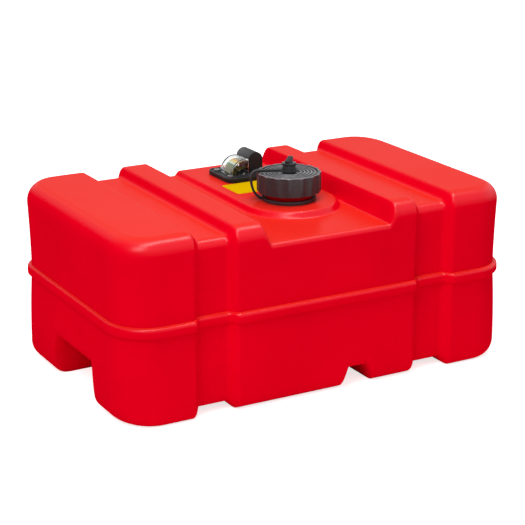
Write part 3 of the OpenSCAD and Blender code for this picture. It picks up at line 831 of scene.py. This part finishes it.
def thread(r, turn, z, top, bottom, pitch, deep):
    """How far a screw thread stands out at an angle and a height, fading at both ends."""
    phase = (z - bottom) / pitch - turn / (2 * math.pi)
    across = abs(phase - round(phase)) * 2
    crest = min(1.0, max(0.0, (0.55 - across) / 0.3))
    fade = min(1.0, max(0.0, (z - bottom) / 2)) * min(1.0, max(0.0, (top - z) / 2))
    return r + deep * crest * fade


class TANK_OT_moulding(bpy.types.Operator):
    """Makes the tank moulding: outer skin, inner skin and filler neck"""

    bl_idname = "fuel_tank.moulding"
    bl_label = "Tank Moulding"

    def execute(self, context):
        tank = in_mm(context.scene.tank_sizes)
        f = in_mm(context.scene.filler_sizes)
        g = in_mm(context.scene.gauge_sizes)
        red = tank_plastic(context.scene.tank_colours.red)
        holes = [(f.x, f.y, f.neck_bore + NECK_LAP, HOLE_Z), (g.x, g.y, GAUGE_HOLE, HOLE_Z)]
        outer = Moulding(tank, f)
        points, faces = skin(outer, near=1.75, far=7.0, n_edge=8, bead_steps=BEAD_LEVELS,
                             wall_steps=9)
        faces = open_holes(points, faces, holes)
        made = piece("tank_skin", points.tolist(), faces, "tank", red, 60)
        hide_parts("tank_shell")
        inner = Moulding(tank, f, tank.wall)
        points, faces = skin(inner, near=4.0, far=16.0, n_edge=3, bead_steps=[0], wall_steps=3)
        faces = open_holes(points, faces, holes)
        faces = [q[::-1] for q in faces]
        piece("tank_lining", points.tolist(), faces, "tank", red, 60)
        # The neck's red is darkened by half: painted shade for the shadow under the cap.
        self.neck(f, tank, tank_plastic(context.scene.tank_colours.red, "neck_red_painted_shade", 0.5))
        return {"FINISHED"}

    def neck(self, f, tank, red):
        """The filler neck: a tube with a rounded lip, a helical thread and a flared foot."""
        top = f.deck_z + f.neck_h
        bottom = f.deck_z - tank.wall - 0.5
        arc = (0.5, 1.0, 1.57)
        profile = [(f.neck_bore, bottom), (f.neck_bore, top - 1)]
        profile += [(f.neck_bore + 1 - math.cos(a), top - 1 + math.sin(a)) for a in arc]
        profile += [(f.neck_r - 1 + math.sin(a), top - 1 + math.cos(a)) for a in (0.0, *arc)]
        high, low, steps = top - 1.5, f.deck_z + 2.5, 56
        profile += [(f.neck_r, high - (high - low) * i / steps) for i in range(steps + 1)]
        profile += [(f.neck_r + 1.8 * (1 - math.cos(a)), low - 2.2 * math.sin(a)) for a in arc]
        profile += [(f.neck_r - 1.5, bottom)]
        lower, upper = top - 22, top - 2  # the ends of the thread

        def helix(turn, r, z):
            if abs(r - f.neck_r) < 0.01 and lower < z < upper:
                return thread(r, turn, z, upper, lower, f.pitch, THREAD_DEEP), z
            return r, z
        points, faces = lathe(profile, 120, (f.x, f.y), helix)
        piece("filler_neck", points, faces, "tank", red, 50)


# ---- Cap ------------------------------------------------------------------
FLUTES = 16
FLUTE_R = 20.0  # radius of a flute's hollow
FLUTE_D = 1.8  # its depth
FLUTE_TURN = math.radians(-6.5)
RIDGES = (17, 22, 27, 32, 37)
RIDGE_H = 1.8
# Corners of a ridge: how far out from its place, the part of its height and the radius.
RIDGE_CORNERS = ((1.6, 0, 0.2), (1.3, 1, 0.7), (-0.1, 1, 0.7), (-0.4, 0, 0.2))
RIM_W = 4
DISH_D = 2.5
BOSS_R = 9.5
STEM_HOLE = 4
BORE_GAP = 7.5  # how much wider the cap's bore is than the neck
ROOF_GAP = 2.5  # how far the roof of the cap is above the neck
NOTCH_D = 1.3  # depth of the notches in the rim over the flutes


def flute_radius(turn, cap_r):
    """Distance from the axis to the wall of the nearest flute."""
    pitch = 2 * math.pi / FLUTES
    off = ((turn - FLUTE_TURN) / pitch) % 1.0 - 0.5
    reach = cap_r + FLUTE_R - FLUTE_D
    across = reach * math.sin(off * pitch)
    if abs(across) >= FLUTE_R:
        return cap_r
    return reach * math.cos(off * pitch) - math.sqrt(FLUTE_R ** 2 - across ** 2)


class TANK_OT_cap(bpy.types.Operator):
    """Makes the screw cap with its flutes, ring ridges, vent boss and inner thread"""

    bl_idname = "fuel_tank.cap"
    bl_label = "Screw Cap"

    def execute(self, context):
        f = in_mm(context.scene.filler_sizes)
        black = moulded_plastic("cap_black", context.scene.tank_colours.black, 0.4)
        low, high = [corner.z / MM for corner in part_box("cap_shell")]
        rim = low + f.cap_h
        face = rim - DISH_D
        bore = f.neck_r + BORE_GAP
        roof = f.deck_z + f.neck_h + ROOF_GAP
        corners = [(bore, low, 0.4), (f.cap_r, low, 0.9), (f.cap_r, rim, 1.8),
                   (f.cap_r - RIM_W, rim, 0.6), (f.cap_r - RIM_W, face, 0.3)]
        for r in reversed(RIDGES):
            corners += [(r + out, face + RIDGE_H * part, bend)
                        for out, part, bend in RIDGE_CORNERS]
        corners += [(BOSS_R, face, 0.5), (BOSS_R, high, 0.6),
                    (STEM_HOLE, high, 0.3), (STEM_HOLE, roof, 0.2)]
        profile = rounded(corners, 3) + [(bore, roof - 0.45 * i) for i in range(46)]

        def shape(turn, r, z):
            if abs(r - bore) < 0.01 and low + 1 < z < roof - 1:
                return thread(bore, turn, z, roof - 2, low + 2, f.pitch, -THREAD_DEEP), z
            if r > f.cap_r - RIM_W + 0.5:
                lap = (turn - FLUTE_TURN) * FLUTES / (2 * math.pi)
                notch = max(0.0, 1 - abs(lap % 1.0 - 0.5) * 5)
                drop = NOTCH_D * notch if z > rim - 2 else 0.0
                return min(r, flute_radius(turn, f.cap_r)), z - drop
            return r, z
        points, faces = lathe(profile, FLUTES * 12, (f.x, f.y), shape)
        made = piece("screw_cap", points, faces, "cap", black, 32)
        # The ring ridges' tops are painted pale by height and the top's edges nine times paler:
        # painted glints, with some wear.
        crest = [(face + RIDGE_H * part) * MM for part in (0.55, 0.95)]
        made.data.materials.append(moulded_plastic(
            "cap_top_black_painted_glint", context.scene.tank_colours.black, rough=0.25, grain=0.05, shine=0.2,
            wear_glint_gain=9.0, glint=1.0, crest=crest))
        for face_of in made.data.polygons:
            middle = face_of.center / MM
            reach = math.hypot(middle.x - f.x, middle.y - f.y)
            if middle.z > face - 0.5 and reach > BOSS_R - 0.5:
                face_of.material_index = 1
        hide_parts("cap_shell")
        paint_node("cap_gasket", strap_rubber("gasket_black", SEAL_BLACK))
        return {"FINISHED"}


class TANK_OT_vent(bpy.types.Operator):
    """Makes the vent screw: washer, knob with its wing and stem"""

    bl_idname = "fuel_tank.vent"
    bl_label = "Vent Screw"

    def execute(self, context):
        black = moulded_plastic("vent_black", context.scene.tank_colours.black, 0.25,
                                shine=0.1, wear_glint_gain=1.0)
        softened("vent_knob", "vent_wing", black, 0.7, 3)
        paint_node("vent_stem", black)
        paint_node("vent_washer", strap_rubber("washer_black", SEAL_BLACK))
        return {"FINISHED"}


class TANK_OT_tether(bpy.types.Operator):
    """Makes the tether: collar round the neck, strap and ring round the cap's boss"""

    bl_idname = "fuel_tank.tether"
    bl_label = "Tether"

    def execute(self, context):
        rubber = strap_rubber("tether_black", (0.02, 0.02, 0.021))
        softened("tether_collar", "neck_collar", moulded_plastic(
            "collar_black", context.scene.tank_colours.black), 0.5)
        softened("tether_eye", "cap_ring", rubber, 0.5)
        strap = softened("tether_strap", "strap", rubber, 0.5, rides=False)
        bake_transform(strap)
        return {"FINISHED"}


# ---- Gauge and outlet -----------------------------------------------------
class TANK_OT_gauge(bpy.types.Operator):
    """Makes the fuel gauge: plate, screws, lens, printed drum and float"""

    bl_idname = "fuel_tank.gauge"
    bl_label = "Fuel Gauge"

    def execute(self, context):
        colours = context.scene.tank_colours
        charcoal = moulded_plastic("gauge_charcoal", colours.charcoal, 0.45, shine=0.15)
        steel = turned_metal("steel", STEEL, 0.25)
        softened("gauge_base", "gauge_plate", charcoal, 0.6, 3)
        softened("gauge_lens", "lens", clear_plastic(), 0.8, 3)
        softened("gauge_screws", "plate_screws", turned_metal("screw_steel", SCREW_STEEL), 0.25)
        paint_node("gauge_gasket", strap_rubber("plate_seal", (0.025, 0.025, 0.025)))
        paint_node("gauge_dial", dial_print(colours.olive))
        for node in ("dial_axle", "arm_pin", "float_arm"):
            paint_node(node, steel)
        paint_node("arm_hub", charcoal)
        paint_node("screw_inserts", turned_metal("brass", BRASS))
        softened("fuel_float", "float", foam(), 2.0, 3)
        return {"FINISHED"}


class TANK_OT_outlet(bpy.types.Operator):
    """Makes the outlet tower with its port, and the pickup tube with its strainer"""

    bl_idname = "fuel_tank.outlet"
    bl_label = "Fuel Outlet"

    def execute(self, context):
        brass = turned_metal("port_brass", BRASS)
        softened("outlet_tower", "outlet_barrel", moulded_plastic(
            "outlet_charcoal", context.scene.tank_colours.charcoal, 0.42, shine=0.2), 0.9, 3)
        softened("port_insert", "outlet_port", brass, 0.3)
        paint_node("pickup_tube", natural_plastic("tube_white", (0.75, 0.74, 0.7)))
        paint_node("pickup_strainer", brass)
        return {"FINISHED"}


class TANK_OT_label(bpy.types.Operator):
    """Makes the plain yellow label"""

    bl_idname = "fuel_tank.label"
    bl_label = "Label"

    def execute(self, context):
        softened("label_plate", "label_film", label_film(context.scene.tank_colours.yellow), 0.15)
        return {"FINISHED"}


# ---- Stage ----------------------------------------------------------------
# Each lamp's name, place and spread in metres, and power in watts.
LAMPS = [("key", (-1.6, -1.2, 2.1), (1.2, 1.2), 26), ("strip", (0.15, -0.35, 2.3), (2.4, 0.5), 28)]
LAMP_AIM = (0, 0, 0.1)
FLOOR_GLOW = 0.72  # brings the floor to white for the camera and in reflections
SKY_LEVEL = 0.45


class TANK_OT_stage(bpy.types.Operator):
    """Makes the pale floor, the soft lamps and the camera"""

    bl_idname = "fuel_tank.stage"
    bl_label = "Studio"

    def execute(self, context):
        self.camera(context)
        self.floor()
        self.world(context)
        for lamp in LAMPS:
            self.lamp(*lamp)
        context.scene.view_settings.view_transform = "Standard"
        return {"FINISHED"}

    def camera(self, context):
        """The camera, at the angle of the photograph."""
        choice = context.scene.view_choices
        data = bpy.data.cameras.new("camera")
        data.sensor_width = 36.0
        data.lens = choice.focal_px * data.sensor_width
        data.clip_end = 20.0
        made = bpy.data.objects.new("camera", data)
        context.scene.collection.objects.link(made)
        turn = Matrix.Rotation(choice.azimuth, 4, "Z") @ Matrix.Rotation(
            math.pi / 2 - choice.elevation, 4, "X") @ Matrix.Rotation(choice.roll, 4, "Z")
        made.matrix_world = Matrix.Translation(choice.place) @ turn
        context.scene.camera = made

    def floor(self):
        """A white floor that keeps the shadow."""
        made = Finish("floor_white", Base_Color=(0.95, 0.95, 0.95, 1.0), Roughness=0.9)
        bpy.ops.mesh.primitive_plane_add(size=14, location=(0, 0, 0))
        plane = bpy.context.object
        plane.name = "floor"
        white = made.node("ShaderNodeEmission", values={0: WHITE, 1: FLOOR_GLOW})
        both = made.node("ShaderNodeAddShader", values={0: made.shader, 1: white})
        pick = made.node("ShaderNodeMixShader", values={
            0: made.seen_by("Camera", "Glossy"), 1: made.shader, 2: both})
        feed(made.tree, made.output.inputs[0], pick)
        plane.data.materials.append(made.material)

    def world(self, context):
        """Soft light from all round, white where it is seen."""
        world = bpy.data.worlds.new("studio")
        context.scene.world = world
        world.use_nodes = True
        sky = Tree(world.node_tree)
        light = sky.node("ShaderNodeBackground", values={0: WHITE, 1: SKY_LEVEL})
        white = sky.node("ShaderNodeBackground", values={0: WHITE, 1: 1.0})
        pick = sky.node("ShaderNodeMixShader", values={
            0: sky.seen_by("Camera", "Glossy", "Transmission"), 1: light, 2: white})
        sky.node("ShaderNodeOutputWorld", values={0: pick}, out=None)

    def lamp(self, name, place, spread, power):
        """A soft rectangular lamp that shines on the tank."""
        data = bpy.data.lights.new(name, "AREA")
        data.shape = "RECTANGLE"
        data.size, data.size_y = spread
        data.energy = power
        made = bpy.data.objects.new(name, data)
        bpy.context.scene.collection.objects.link(made)
        made.location = place
        made.rotation_euler = (Vector(LAMP_AIM) - Vector(place)).to_track_quat("-Z", "Y").to_euler()


class TANK_PT_panel(bpy.types.Panel):
    """Lists the steps that build the tank"""

    bl_label = "Fuel Tank"
    bl_idname = "TANK_PT_panel"
    bl_space_type = "VIEW_3D"
    bl_region_type = "UI"
    bl_category = "Fuel Tank"

    def draw(self, context):
        for name in STEPS:
            self.layout.operator("fuel_tank." + name)


STEPS = ["stage", "moulding", "label", "cap", "vent", "tether", "gauge", "outlet"]
CLASSES = [TankSizes, FillerSizes, GaugeSizes, Colours, ViewChoices,
           TANK_OT_stage, TANK_OT_moulding, TANK_OT_label, TANK_OT_cap, TANK_OT_vent,
           TANK_OT_tether, TANK_OT_gauge, TANK_OT_outlet, TANK_PT_panel]
GROUPS = {"tank_sizes": TankSizes, "filler_sizes": FillerSizes, "gauge_sizes": GaugeSizes,
          "tank_colours": Colours, "view_choices": ViewChoices}


def register():
    for made in CLASSES:
        bpy.utils.register_class(made)
    for name, group in GROUPS.items():
        setattr(bpy.types.Scene, name, PointerProperty(type=group))


def unregister():
    for name in GROUPS:
        delattr(bpy.types.Scene, name)
    for made in reversed(CLASSES):
        bpy.utils.unregister_class(made)


def main():
    """Builds the whole tank."""
    register()
    for name in STEPS:
        getattr(bpy.ops.fuel_tank, name)()


if __name__ == "__main__":
    main()
